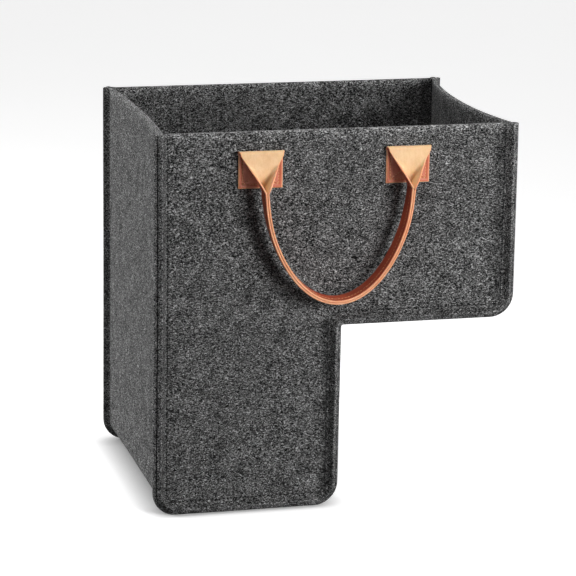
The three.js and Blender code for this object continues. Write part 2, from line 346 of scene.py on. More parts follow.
# The gusset's felt is the panel's, mirrored in the line between the two layers
GUSSET_SEAM = np.stack([DIAGONAL - PANEL_SEAM[:, 1], DIAGONAL - PANEL_SEAM[:, 0]], 1)
TIP_LIFT = GUSSET_SEAM[-1, 0] + FELT / 2 * abs(math.cos(TURN)) - PRESSED   # floor to valley


def offset(line, by):
    """A line of 2-D points moved to its left by that much."""
    along = unit(np.gradient(line, axis=0))
    return line + np.stack([-along[:, 1], along[:, 0]], 1) * by


def raw_end(centre, half, sign_first):
    """The rounded cut end of a strip of felt, from the side sign_first to the other."""
    t = unit(centre[-1] - centre[-2])
    n = np.array([-t[1], t[0]]) * sign_first
    r = min(RAW_ROUND, half)
    rising = [math.pi / 2 * k / ROUND_STEPS for k in range(ROUND_STEPS + 1)]
    points = []
    for side, turns in ((1, rising), (-1, rising[::-1])):
        for a in turns:
            points.append(centre[-1] - t * r + side * n * (half - r)
                          + r * (side * math.cos(a) * n + math.sin(a) * t))
    return np.array(points)


def shortened(line, by):
    """The line with its last point drawn back by that much."""
    line = line.copy()
    t = unit(line[-1] - line[-2])
    line[-1] = line[-1] - t * by
    return line


def panel_profile(trim):
    """Across and in, from the outer skin round the raw edge to the inner skin."""
    line = np.concatenate([[[TURN_START - FLANGE_ROOT, FELT / 2]], shortened(PANEL_SEAM, trim)])
    inner_run = shortened(line, RAW_ROUND)
    outer = offset(inner_run, -FELT / 2)
    inner = offset(inner_run, FELT / 2)
    return np.concatenate([outer[:-1], raw_end(line, FELT / 2, -1), inner[:-1][::-1]])


def gusset_profile(bow, trim_front, trim_back):
    """The closed section of the gusset: across and in, from one raw edge to the other."""
    front = shortened(GUSSET_SEAM, trim_front)[::-1]
    back = shortened(GUSSET_SEAM, trim_back) * [1, -1] + [0, DEPTH]
    a = np.linspace(-1, 1, WALL_STEPS + 1)[1:-1]
    wall_in = np.interp(a, [-1, 1], [front[-1, 1], back[0, 1]])
    wall = np.stack([front[-1, 0] - bow * (1 - np.abs(a) ** BOW_SHAPE), wall_in], 1)
    centre = np.concatenate([front, wall, back])
    sides = shortened(shortened(centre, RAW_ROUND)[::-1], RAW_ROUND)[::-1]
    one = offset(sides, FELT / 2)[1:-1]
    other = offset(sides, -FELT / 2)[1:-1]
    end = raw_end(centre, FELT / 2, 1)
    start = raw_end(centre[::-1], FELT / 2, 1)
    loop = np.concatenate([one, end, other[::-1], start])
    loop[:, 0] = np.minimum(loop[:, 0], TIP_LIFT)
    return loop


# Body outline
LEFT = -HALF_W
RISER = LEFT + LEG
RIGHT = HALF_W
STEP_Z = STAIR_RISE + TIP_LIFT


def outline(run_length, top):
    """Stations (x, z, outward x, outward z, length so far) from rim to rim."""
    corners = [(LEFT, top, 0), (LEFT, TIP_LIFT, CORNER), (RISER, TIP_LIFT, CORNER),
               (RISER, STEP_Z, TIP_LIFT + TIP_CORNER), (RIGHT, STEP_Z, CORNER), (RIGHT, top, 0)]
    p = [np.array(c[:2]) for c in corners]
    stations = []
    heading = unit(p[1] - p[0])
    stations.append((*p[0], heading[1], -heading[0]))
    at = p[0]
    for i in range(1, len(p)):
        heading = unit(p[i] - p[i - 1])
        radius = corners[i][2]
        nxt = unit(p[i + 1] - p[i]) if radius else heading
        bend = math.atan2(heading[0] * nxt[1] - heading[1] * nxt[0], heading @ nxt)
        start = p[i] - heading * radius * math.tan(abs(bend) / 2)
        pieces = max(1, math.ceil(np.linalg.norm(start - at) / run_length))
        for k in range(1, pieces + 1):
            q = at + (start - at) * k / pieces
            stations.append((*q, heading[1], -heading[0]))
        side = np.array([-heading[1], heading[0]]) * radius * np.sign(bend)
        centre = start + side
        steps = CORNER_STEPS if radius else 0
        for k in range(1, steps + 1):
            a = bend * k / steps
            way = turned(heading, a)
            stations.append((*(centre - turned(side, a)), way[1], -way[0]))
        at = np.array(stations[-1][:2])
    stations = np.array(stations)
    return np.concatenate([stations, run_of(stations[:, :2])[:, None]], 1)


def placed(station, profile):
    """Profile points (across, in) of the front at a station of the outline."""
    x, z, ox, oz = station[:4]
    return np.stack([x + ox * profile[:, 0], profile[:, 1] - HALF_D, z + oz * profile[:, 0]], 1)


def capped_rim(build, ring):
    """Rounds a level ring of points over to the rim's height and closes it."""
    ring = np.asarray(ring, float)
    low = ring[:, 2].mean()
    rows = [ring]
    for k in range(1, ROUND_STEPS + 1):
        a = math.pi / 2 * k / ROUND_STEPS
        level = inset(ring[:, :2], TOP_ROUND * (1 - math.cos(a)))
        height = low + (HEIGHT - low) * math.sin(a)
        rows.append(np.column_stack([level, np.full(len(level), height)]))
    build.grid(rows, closed=True)
    points, faces = fill(rows[-1][:, :2])
    build.add([(x, y, HEIGHT) for x, y in points], faces)


def raw_trim(s, seed):
    """How much shorter than the full allowance the raw edge was cut, along the seam."""
    trim = TRIM
    for k, (size, wavelength) in enumerate(TRIM_WAVES):
        trim = trim + size * ripple(s, wavelength, seed + k)
    return trim


# Felt pieces
PANEL_STEP, GUSSET_STEP = 5.0, 6.0   # between stations of a panel's and of the gusset's rows
RIM_STEP, GRID_STEP = 6, 7.0         # between points of a panel's rim, and inside it
GRID_TOP = 3             # the points inside a panel end that far under its rim
EDGE_CLEAR = 6           # and stay that far inside the seam's turn,
CORNER_CLEAR = CORNER + 4    # that far from the outside corners
NOSE_CLEAR = 9           # and that far from the corner over the stair nosing


def panel_mesh(name, back, material):
    """A front or back panel, with its flat L and its turned-out seam edge."""
    seed = 40 if back else 20
    top = HEIGHT - TOP_ROUND
    rows = [placed(s, panel_profile(raw_trim(s[4], seed))) for s in outline(PANEL_STEP, top)]
    build = Builder()
    build.grid(rows)

    # The flat of both skins, from the seam's inner row to the rim
    first, last = rows[0], rows[-1]
    ring = np.array([(r[0][0], r[0][2]) for r in rows])
    count = int((last[0][0] - first[0][0]) / RIM_STEP)
    top_x = np.linspace(last[0][0], first[0][0], count + 1)[1:-1]
    loop = np.concatenate([ring, np.stack([top_x, np.full(len(top_x), top)], 1)])
    xs, zs = np.meshgrid(np.arange(LEFT + GRID_STEP, RIGHT, GRID_STEP),
                         np.arange(TIP_LIFT + EDGE_CLEAR, top - GRID_TOP, GRID_STEP))
    x, z = xs.ravel(), zs.ravel()
    clear = EDGE_CLEAR - TURN_START
    keep = (x > LEFT + clear) & (x < RIGHT - clear)
    keep &= z > np.where(x > RISER - clear, STEP_Z + clear, TIP_LIFT + clear)
    for corner_x, corner_z, away in (
            (LEFT, TIP_LIFT, CORNER_CLEAR), (RISER, TIP_LIFT, CORNER_CLEAR),
            (RIGHT, STEP_Z, CORNER_CLEAR), (RISER, STEP_Z, NOSE_CLEAR)):
        keep &= np.hypot(x - corner_x, z - corner_z) > away
    points, faces = fill(loop, np.stack([x, z], 1)[keep])
    for y in (0.0, FELT):
        build.add([(x, y - HALF_D, z) for x, z in points], faces)

    capped_rim(build, np.concatenate([
        first[::-1],
        [(x, -HALF_D, top) for x in top_x[::-1]],
        last,
        [(x, FELT - HALF_D, top) for x in top_x],
    ]))
    build.turn_to(back)
    build.settle()
    obj = build.object(name, [material])
    keep_painted_shade(obj, on_panel=True)
    return obj


def gusset_mesh(name, material):
    """The strip round the whole outline, with the two side walls sunk inward at the rim."""
    front_seed, back_seed = 60, 80
    rows = []
    for s in outline(GUSSET_STEP, HEIGHT - TOP_ROUND):
        leg_side = s[0] < RISER
        foot = TIP_LIFT if leg_side else STEP_Z
        on_side = abs(abs(s[0]) - HALF_W) < NEAR
        rise = max(0.0, (s[1] - foot) / (HEIGHT - foot)) if on_side else 0.0
        bow = (LEG_BOW if leg_side else STEP_BOW) * rise ** BOW_RISE
        section = gusset_profile(bow, raw_trim(s[4], front_seed), raw_trim(s[4], back_seed))
        rows.append(placed(s, section))
    build = Builder()
    build.grid(rows, closed=True)
    capped_rim(build, rows[0])
    capped_rim(build, rows[-1])
    build.settle()
    obj = build.object(name, [material])
    keep_painted_shade(obj, on_panel=False)
    return obj


# Thread: from stitch to stitch, the length of one, and the thread's radius
SEAM_PITCH, SEAM_STITCH, SEAM_THREAD = 4.3, 3.1, 0.5
TAB_PITCH, TAB_STITCH, TAB_THREAD = 3.2, 2.4, 0.42
STRAP_PITCH, STRAP_THREAD = 3.6, 0.34
STITCH_START, STRAP_STITCH_END = 0.4, 3.0    # of a stitch on leather, within its pitch
SEAM_START, SEAM_END = 1.5, 3        # from the rim to a seam's first and last stitch
SEAM_JITTER = 0.15       # how far a stitch lies off its place
SEAM_AT = (TURN_START - 0.5, -0.1)   # across and in, where it lies on a panel
PANEL_LOOK, GUSSET_LOOK = (0.35, -1.0), (1.0, -0.35)     # which way the stitches face
TAB_THREAD_OUT, STRAP_THREAD_OUT = 0.15, 0.08    # how far the thread's middle stands proud
BOX_SINK, CROSS_SINK = 0.3, 0.05     # how far each is pulled into a tab
BOX_UNDER_FOLD = 3.0     # from the fold's lower end to the top of the box
# Places along a stitch, and its share of the thread's radius there
STITCH_SHAPE = ((-0.02, 0.05), (0.03, 0.55), (0.12, 0.85), (0.3, 1), (0.7, 1), (0.88, 0.85),
                (0.97, 0.55), (1.02, 0.05))
STITCH_DIP = 0.9         # how deep its ends dive, in radii


def capsule(build, a, b, radius, side, sides=8):
    """One stitch: a short rounded run of thread from a to b, with its ends drawn in."""
    a, b = np.asarray(a, float), np.asarray(b, float)
    t = unit(b - a)
    u = np.asarray(side, float)
    u = unit(u - t * (u @ t))
    v = np.cross(t, u)
    long = np.linalg.norm(b - a)
    turns = [2 * math.pi * k / sides for k in range(sides)]
    rows = []
    for at, r in STITCH_SHAPE:
        dip = -radius * STITCH_DIP * (2 * abs(at - 0.5)) ** 3
        c = a + t * long * at + u * dip
        rows.append(np.array([c + radius * r * (math.cos(w) * u + math.sin(w) * v) for w in turns]))
    first = len(build.points)
    build.grid(rows, closed=True)
    build.cap(first, sides)
    build.cap(len(build.points) - sides, sides)


def seam_thread(name, back, material):
    """The stitches that close a seam, in the valley of the panel and of the gusset."""
    stations = outline(1.0, HEIGHT - SEAM_END)
    length = stations[:, 4]
    on_panel = np.array(SEAM_AT)
    on_gusset = np.array([DIAGONAL - on_panel[1], DIAGONAL - on_panel[0]])
    rng = np.random.default_rng(5 + back)
    build = Builder()
    for at, look in ((on_panel, PANEL_LOOK), (on_gusset, GUSSET_LOOK)):
        for k in range(int(length[-1] / SEAM_PITCH)):
            ends = []
            start = SEAM_START + k * SEAM_PITCH + rng.uniform(-SEAM_JITTER, SEAM_JITTER)
            for s in (start, start + SEAM_STITCH):
                st = at_length(s, length, stations)
                n = math.hypot(st[2], st[3])
                st[2], st[3] = st[2] / n, st[3] / n
                ends.append(placed(st, at[None])[0])
            side = np.array([st[2] * look[0], look[1], st[3] * look[0]])
            capsule(build, ends[0], ends[1], SEAM_THREAD, side, sides=6)
    build.turn_to(back)
    build.settle()
    return build.object(name, [material])


# Leather
FOLD_Z = HEIGHT - FOLD_BELOW_RIM - FOLD_RADIUS - LEATHER / 2
TAB_Y = -HALF_D - GAP - LEATHER / 2
HINGE_Y = TAB_Y - FOLD_RADIUS
FLAP_Y = HINGE_Y - FOLD_RADIUS
HALF_STRIP = STRIP / 2
PINCH_R = 1.13           # half the doubled strap's back
FOLD_R = PINCH_R - 0.05  # centre of the leather, round that back
SOFT_BEND = 9.0          # the same where the strip's sides begin to stand up
SIDES_START = 0.12       # share of the flap above which its sides lie flat
FOLD_EASE = 1.5          # what each edge has already come inward at the end of the fold
EASE_SHAPE = 1.5         # exponent of that easing
LEAST_BEND, LEAST_SIDE = math.radians(3), 0.3    # that are left where the sides lie flat
BOTTOM_Z = HEIGHT - FOLD_BELOW_RIM - DROP
PINCH_Z = FOLD_Z - GAP - FLAP
FLARE_SHARE = 0.15       # share of the strap over which its raw edges begin to spread

# Sections and faces of the strip
FOLD_STEPS, FLAP_STEPS, STRAP_STEPS, CURVE_POINTS = 10, 28, 51, 600
ARC_POINTS, WALL_POINTS, MIDDLE_POINTS = 8, 6, 5    # in half a section: bend, side, middle
FLESH, GRAIN, RAW = 0, 1, 2      # material numbers

# Raw edges of the strip
EDGE_TURNS = (50, 20, -20, -50)  # degrees from the edge's middle, toward the flesh side first
EDGE_REACH, EDGE_SIDE = 0.75, 0.93   # how round it is, out and to each side, in half thicknesses
EDGE_UV = 2.0                    # width of a raw edge in the UV
NICKS = ((0.06, 9.0), (0.04, 3.7))   # size and length of the waves in the cut

# A lifted handle would bend along a slope, outward and down from the fold's axis: before the first
# of these places the flap stays with the tab, after the second with the strap.
# The places are worked out below, but no handle is bent.
BEND_SLOPE = math.radians(55)
BEND_FROM, BEND_TO = 0.3, 31.4


def strip_section(closed):
    """Mid-line of the strip seen along itself: (x, forward), from one edge to the other.
    Its middle stays flat, narrower as it closes, and its two sides stand up forward."""
    if closed <= 0:
        reach = HALF_STRIP + FOLD_EASE * closed
        closed = 0
    else:
        reach = PINCH_R + (HALF_STRIP - FOLD_EASE - PINCH_R) * (1 - closed) ** NARROWING
    stand = (STRAP_DEPTH - LEATHER / 2) * float(step_between(closed, SIDES_START, 1.0))
    radius = SOFT_BEND + (FOLD_R - SOFT_BEND) * closed
    bend = max(LEAST_BEND, math.acos(max(0.0, 1 - stand / radius)))
    wall = max(LEAST_SIDE, stand - radius)
    flat = reach - radius * math.sin(bend) - wall * math.cos(bend)
    a = np.linspace(0, bend, ARC_POINTS)
    arc = np.stack([flat + radius * np.sin(a), radius * (1 - np.cos(a))], 1)
    side = np.linspace(0, wall, WALL_POINTS + 1)[1:, None] * [math.cos(bend), math.sin(bend)]
    middle = np.stack([np.linspace(0, flat, MIDDLE_POINTS + 1)[:-1], np.zeros(MIDDLE_POINTS)], 1)
    right = np.concatenate([middle, arc, arc[-1] + side])
    return np.concatenate([right[:0:-1] * [-1, 1], right])


def flap_stations(side):
    """Sections from the tab's fold to the pinch: (origin, x axis, forward axis, closed)."""
    rows = []
    for k in range(FOLD_STEPS + 1):
        a = math.pi * k / FOLD_STEPS
        origin = (0.0, HINGE_Y + FOLD_RADIUS * math.cos(a), FOLD_Z + FOLD_RADIUS * math.sin(a))
        eased = -max(0.0, -math.cos(a)) ** EASE_SHAPE
        rows.append((origin, (1, 0, 0), (0, math.cos(a), math.sin(a)), eased))
    for k in range(1, FLAP_STEPS + 1):
        s = k / FLAP_STEPS
        y = FLAP_Y - FLAP_LEAN * s - FLAP_BULGE * math.sin(math.pi * s)
        origin = (-side * PINCH_INSET * s, y, FOLD_Z - (FOLD_Z - PINCH_Z) * s)
        rows.append((origin, (1, 0, 0), (0, -1, 0), s))
    return rows


def bezier(p, t):
    """Points of a cubic curve through p[0] and p[3], at each t from 0 to 1."""
    t = np.asarray(t)[:, None]
    return ((1 - t) ** 3 * p[0] + 3 * (1 - t) ** 2 * t * p[1]
            + 3 * (1 - t) * t ** 2 * p[2] + t ** 3 * p[3])


def strap_stations(sign):
    """Stations (x, z, along x, along z) down one leg of the loop to its bottom."""
    reach = TAB_SPACING / 2 - PINCH_INSET
    p = np.array([(sign * reach, PINCH_Z),
                  (sign * (reach - LEAN), PINCH_Z + (BOTTOM_Z - PINCH_Z) * LEG_REACH),
                  (sign * reach * FULLNESS, BOTTOM_Z), (0.0, BOTTOM_Z)])
    dense = bezier(p, np.linspace(0, 1, CURVE_POINTS))
    s = run_of(dense)
    at = np.linspace(0, s[-1], STRAP_STEPS + 1)
    x, z = at_length(at, s, dense)
    along = unit(np.stack([np.gradient(x, at), np.gradient(z, at)], 1))
    along[-1] = (-sign, 0)
    return np.stack([x, z, along[:, 0], along[:, 1]], 1)


def handle_frames():
    """All sections of one strip, end to end: (origin, x axis, forward axis, closed)."""
    def flap(sign):
        middle = [HANDLE_X + sign * TAB_SPACING / 2, 0, 0]
        return [(np.array(origin) + middle, np.array(ax, float), np.array(fw, float), closed)
                for origin, ax, fw, closed in flap_stations(sign)]

    frames = flap(-1)
    left, right = strap_stations(-1), strap_stations(1)
    path = np.concatenate([left[1:], (right[:-1] * [1, 1, -1, -1])[::-1]])
    for i, (x, z, tx, tz) in enumerate(path):
        share = min(1.0, min(i + 1, len(path) - i) / len(path) / FLARE_SHARE)
        flare = LOOP_FLARE * share * share * (3 - 2 * share)
        c, s = math.cos(flare), math.sin(flare)
        across, outward = np.array([-tz, 0, tx]), np.array([tz, 0, -tx])
        out = np.array([0, -1.0, 0])
        origin = np.array([HANDLE_X + x, FLAP_Y - FLAP_LEAN, z])
        frames.append((origin, across * c + out * s, out * c + outward * s, 1.0))
    return frames + flap(1)[::-1]


def section_tangents(sec):
    """Direction along the section at each point. The middle points of both halves may coincide."""
    steps = np.diff(sec, axis=0)
    ahead, behind = np.concatenate([steps, steps[-1:]]), np.concatenate([steps[:1], steps])
    same_point = 1e-6
    for k in range(1, len(sec)):
        if np.linalg.norm(behind[k]) < same_point:
            behind[k] = behind[k - 1]
    for k in range(len(sec) - 2, -1, -1):
        if np.linalg.norm(ahead[k]) < same_point:
            ahead[k] = ahead[k + 1]
    return unit(ahead) + unit(behind)


def handle_rows():
    """Mid-line points and skin normals of every section, and the length along the strip."""
    mids, normals = [], []
    for origin, ax, fw, closed in handle_frames():
        sec = strip_section(closed)
        t = unit(section_tangents(sec))
        flesh_side = np.stack([-t[:, 1], t[:, 0]], 1)
        mids.append(origin + sec[:, :1] * ax + sec[:, 1:] * fw)
        normals.append(flesh_side[:, :1] * ax + flesh_side[:, 1:] * fw)
    mids, normals = np.array(mids), np.array(normals)
    return mids, normals, run_of(mids[:, mids.shape[1] // 2])


def cut_edge(mid, out, normal, at, turns):
    """Points round a raw edge of the strip, a little uneven along its length."""
    half = LEATHER / 2
    nick = sum(size * math.sin(at / wavelength) for size, wavelength in NICKS)
    points = []
    for a in turns:
        c, s = math.cos(math.radians(a)), math.sin(math.radians(a))
        points.append(mid + out * (half * EDGE_REACH * c + nick) + normal * half * s * EDGE_SIDE)
    return points


def handle_mesh(name, back, materials):
    """Fold, flap, doubled strap, flap and fold: one strip of leather from tab to tab. Its UV is
    the length along the strip and the place across it, with the raw edges outside the strip."""
    mids, normals, length = handle_rows()
    rows, uvs = [], []
    for m, n, at in zip(mids, normals, length):
        across = run_of(m)
        across -= across[-1] / 2
        skin = n * (LEATHER / 2)
        one = cut_edge(m[-1], unit(m[-1] - m[-2]), n[-1], at, EDGE_TURNS)
        other = cut_edge(m[0], unit(m[0] - m[1]), n[0], at, EDGE_TURNS[::-1])
        rows.append(np.array([*(m + skin), *one, *(m - skin)[::-1], *other]))
        edge = [HALF_STRIP + EDGE_UV / 2 - a / EDGE_TURNS[0] for a in EDGE_TURNS]
        places = [*across, *edge, *across[::-1], *(-place for place in edge[::-1])]
        uvs.extend((at, place) for place in places)
    count, rounds = len(mids[0]), len(EDGE_TURNS)
    cut = [RAW] * (rounds + 1)
    build = Builder()
    build.grid(rows, closed=True, kind=[FLESH] * (count - 1) + cut + [GRAIN] * (count - 1) + cut)

    # The two cut ends, from the flesh side across to the grain side
    for first in (0, len(build.points) - len(rows[0])):
        for k in range(count - 1):
            across = first + 2 * count + rounds - 1 - k
            build.faces.append((first + k, first + k + 1, across - 1, across))
            build.kinds.append(RAW)
    build.turn_to(back)
    return build.object_with_uv(name, materials, uvs)


# Tabs
TAB_LOW = HEIGHT - FOLD_BELOW_RIM - TAB_HEIGHT
TAB_FACE = TAB_Y - LEATHER / 2
TAB_UNDER_FOLD = 0.2     # how far the tab's grain runs up past the fold's lower end
TAB_BACK = -HALF_D - GAP + 0.05  # pressed a little toward the felt
TAB_COLUMNS, TAB_ROWS = 46, 40
STITCH_LINE = 4.2        # from the tab's edge
GROOVE, GROOVE_WIDE = 0.45, 0.8          # pressed in along that line
PUFF, PUFF_AT, PUFF_WIDE = 0.25, 1.9, 1.3    # swollen between the line and the edge
EDGE_DROP, EDGE_WIDE = 0.9, 1.0          # rounded off at the edge


def border_of(rows):
    """What lies round the four sides of a grid, in order."""
    return [*rows[0], *(r[-1] for r in rows[1:]), *rows[-1][-2::-1], *(r[0] for r in rows[-2:0:-1])]


def tab_mesh(name, x, back, materials):
    """The sewn plate under a fold: softly pressed at its stitch line, with rounded edges."""
    rows, uvs = [], []
    for z in np.linspace(TAB_LOW, FOLD_Z + TAB_UNDER_FOLD, TAB_ROWS + 1):
        row, uv = [], []
        for dx in np.linspace(-HALF_STRIP, HALF_STRIP, TAB_COLUMNS + 1):
            edge = min(HALF_STRIP - abs(dx), z - TAB_LOW)
            groove = GROOVE * math.exp(-(abs(edge - STITCH_LINE) / GROOVE_WIDE) ** 2)
            puff = PUFF * math.exp(-((edge - PUFF_AT) / PUFF_WIDE) ** 2)
            drop = EDGE_DROP * (1 - min(1.0, edge / EDGE_WIDE)) ** 2
            row.append((x + dx, TAB_FACE + groove - puff + drop, z))
            uv.append((z - TAB_LOW, dx))
        rows.append(row)
        uvs.append(uv)
    build = Builder()
    build.grid(rows, kind=GRAIN)
    build.kinds = [RAW if i in (0, TAB_COLUMNS - 1) or j == 0 else GRAIN
                   for j in range(TAB_ROWS) for i in range(TAB_COLUMNS)]
    border = np.array(border_of(rows))
    middle, deep = border.copy(), border.copy()
    middle[:, 1] = (border[:, 1] + TAB_BACK) / 2
    deep[:, 1] = TAB_BACK
    build.grid([border, middle, deep], closed=True, kind=RAW)
    build.cap(len(build.points) - len(border), len(border), FLESH)
    build.turn_to(back)
    uv = [place for row in uvs for place in row] + 3 * border_of(uvs)
    return build.object_with_uv(name, materials, uv, close=False)


def tab_thread(name, x, back, material):
    """Box stitch with a cross, as it is sewn on a tab."""
    low, tall = TAB_LOW + STITCH_LINE, FOLD_Z - TAB_LOW - STITCH_LINE - BOX_UNDER_FOLD
    half = HALF_STRIP - STITCH_LINE
    corners = [(-half, low), (half, low), (half, low + tall), (-half, low + tall)]
    box = [(corners[i], corners[(i + 1) % 4]) for i in range(4)]
    cross = [(corners[0], corners[2]), (corners[1], corners[3])]
    build = Builder()
    for runs, sink in ((box, BOX_SINK), (cross, CROSS_SINK)):
        y = TAB_FACE + sink - TAB_THREAD_OUT
        for a, b in runs:
            a, b = np.array(a), np.array(b)
            reach = np.linalg.norm(b - a)
            count = round(reach / TAB_PITCH)
            for i in range(count):
                start = i * reach / count + STITCH_START
                p = a + (b - a) * (start / reach)
                q = a + (b - a) * min((start + TAB_STITCH) / reach, 1)
                capsule(build, (x + p[0], y, p[1]), (x + q[0], y, q[1]), TAB_THREAD, (0, -1, 0))
    build.turn_to(back)
    return build.object(name, [material])


def strap_thread(name, back, material):
    """The row of stitches that keeps the strap doubled, on both of its grain faces."""
    mids, normals, _ = handle_rows()
    flap, column = FOLD_STEPS + 1 + FLAP_STEPS, 2     # sections of a flap, and the seam's column
    build = Builder()
    for edge in (column, mids.shape[1] - 1 - column):
        line, out = mids[flap:-flap, edge], -normals[flap:-flap, edge]
        s = run_of(line)
        count = int(s[-1] / STRAP_PITCH)
        for k in range(count):
            ends = []
            start = k * s[-1] / count
            for at in (start + STITCH_START, start + STRAP_STITCH_END):
                d = unit(at_length(at, s, out))
                ends.append(at_length(at, s, line) + d * (LEATHER / 2 + STRAP_THREAD_OUT))
            capsule(build, ends[0], ends[1], STRAP_THREAD, d)
    build.turn_to(back)
    return build.object(name, [material])


# Materials. The scale of a noise is in cells per metre.
FELT_TONE = 0.062       # albedo of the middle grey between the fibres
FELT_CONTRAST = 3.9     # how far apart the pale and the dark fibres are
FELT_MIDDLE = 1.70      # what the noises add up to in that middle grey
FELT_CURVE = 2.2        # exponent that makes the pale fibres fewer than the dark ones
FIBRE_LEANS = (-38, -12, 14, 41)      # degrees from the run of the sheet
FIBRE_SCALE, FIBRE_SCALE_STEP = 860.0, 80    # of the first lean, and more for each next one
FIBRE_STRETCH = 0.32    # how much of its scale a fibre keeps along its run


def srgb(*levels):
    """The linear colour of three display levels from 0 to 255."""
    def linear(level):
        return level / 255 / 12.92 if level <= 10 else ((level / 255 + 0.055) / 1.055) ** 2.4
    return tuple(linear(level) for level in levels) + (1,)


class Nodes:
    """A short way to write a node material."""

    def __init__(self, name):
        self.material = bpy.data.materials.new(name)
        self.material.use_nodes = True
        self.tree = self.material.node_tree
        self.shader = self.tree.nodes["Principled BSDF"]

    def node(self, kind, sockets=(), **settings):
        """A shader node with its settings, and a value or a link on each socket named."""
        n = self.tree.nodes.new("ShaderNode" + kind)
        for key, value in settings.items():
            setattr(n, key, value)
        for key, value in dict(sockets).items():
            self.put(n, key, value)
        return n

    def put(self, n, key, value):
        socket = n.inputs[key]
        if isinstance(value, bpy.types.NodeSocket):
            self.tree.links.new(value, socket)
        else:
            socket.default_value = value

    def surface(self, **values):
        """Sets sockets of the shader. An underscore stands for a space."""
        for key, value in values.items():
            self.put(self.shader, key.replace("_", " "), value)

    def noise(self, vector, scale, detail=2.0, rough=0.5, output="Fac"):
        return self.node("TexNoise", {
            "Vector": vector, "Scale": scale, "Detail": detail, "Roughness": rough,
        }).outputs[output]

    def math(self, operation, a, b=0.0, c=0.0):
        return self.node("Math", {0: a, 1: b, 2: c}, operation=operation).outputs[0]

    def weighted(self, value, *terms):
        """The value, with each noise added by its weight."""
        for noise, weight in terms:
            value = self.math("MULTIPLY_ADD", noise, weight, value)
        return value

    def mapped(self, vector, scale=(1, 1, 1), rotation=(0, 0, 0)):
        return self.node("Mapping", {
            "Vector": vector, "Scale": scale, "Rotation": [math.radians(a) for a in rotation],
        }).outputs[0]

    def ramp(self, value, stops):
        n = self.node("ValToRGB", {"Fac": value})
        elements = n.color_ramp.elements
        while len(elements) < len(stops):
            elements.new(0.5)
        for slot, (at, colour) in zip(elements, stops):
            slot.position = at
            slot.color = colour
        return n.outputs["Color"]

    def multiplied(self, a, b):
        colour_a, colour_b, result = 6, 7, 2
        return self.node("Mix", {0: 1.0, colour_a: a, colour_b: b},
                         data_type="RGBA", blend_type="MULTIPLY").outputs[result]

    def bump(self, height, strength, distance):
        self.surface(Normal=self.node("Bump", {
            "Height": height, "Strength": strength, "Distance": distance,
        }).outputs[0])

    def coords(self, kind="Object"):
        return self.node("TexCoord").outputs[kind]


def felt_material(name, run):
    """Heathered needle felt: pale and dark fibres matted together, most of them lying along
    run, the long axis of the sheet."""
    m = Nodes(name)
    at = m.coords()
    wander = m.noise(at, 170.0, 1.0, output="Color")
    bent = m.node("VectorMath", {0: wander, 1: (0.006, 0.006, 0.006), 2: at},
                  operation="MULTIPLY_ADD").outputs[0]
    stretch = [FIBRE_STRETCH if axis == run else 1.0 for axis in "xyz"]
    fibres = []
    for k, lean in enumerate(FIBRE_LEANS):
        rotation = {"x": (10 * k, lean, lean * 0.8), "y": (lean, 10 * k, lean)}[run]
        scale = FIBRE_SCALE + FIBRE_SCALE_STEP * k
        fibres.append(m.noise(m.mapped(bent, stretch, rotation), scale, 1.0))
    clump, fine = m.noise(at, 800.0, 1.0), m.noise(at, 1900.0, 1.0)
    cloud = m.noise(at, 60.0, 2.0, 0.6)
    value = m.math("ADD", m.math("MAXIMUM", *fibres[:2]), m.math("MINIMUM", *fibres[2:]))
    value = m.weighted(value, (clump, 0.8), (cloud, 0.25), (fine, 0.35))
    value = m.math("SUBTRACT", value, FELT_MIDDLE)
    spread = m.math("MULTIPLY_ADD", value, FELT_CONTRAST, 1.0)
    level = m.math("POWER", m.math("MAXIMUM", spread, 0.05), FELT_CURVE)
    # The painted shade and highlight along the seams and the rim, stored on the mesh, scale the
    # felt's colour
    painted_shading = m.node("Attribute", attribute_name="shade").outputs["Fac"]
    level = m.math("MULTIPLY", m.math("MULTIPLY", level, painted_shading), FELT_TONE)
    m.surface(Base_Color=m.math("MINIMUM", level, 0.6), Roughness=0.95, Specular_IOR_Level=0.08,
              Sheen_Weight=0.04, Sheen_Roughness=0.5)
    m.bump(m.math("MULTIPLY_ADD", fine, 0.5, value), 0.7, 0.0007)
    return m.material


def edge_tint_with_painted_shade(m, at):
    """Tint across a cut edge: painted shade next to the flesh side, where two leaves of leather
    meet, and darker next to the grain side.
    """
    tints = [(0.0, 1.0), (0.04, 0.45), (0.26, 1.0), (0.72, 1.0), (0.95, 0.55)]
    across = m.node("SeparateXYZ", {"Vector": at}).outputs["Y"]
    outside = m.math("SUBTRACT", m.math("ABSOLUTE", across), HALF_STRIP * MM)
    stops = [(place, (t, t * (0.75 + 0.25 * t), t * (0.6 + 0.4 * t), 1)) for place, t in tints]
    return m.ramp(m.math("DIVIDE", outside, EDGE_UV * MM), stops)


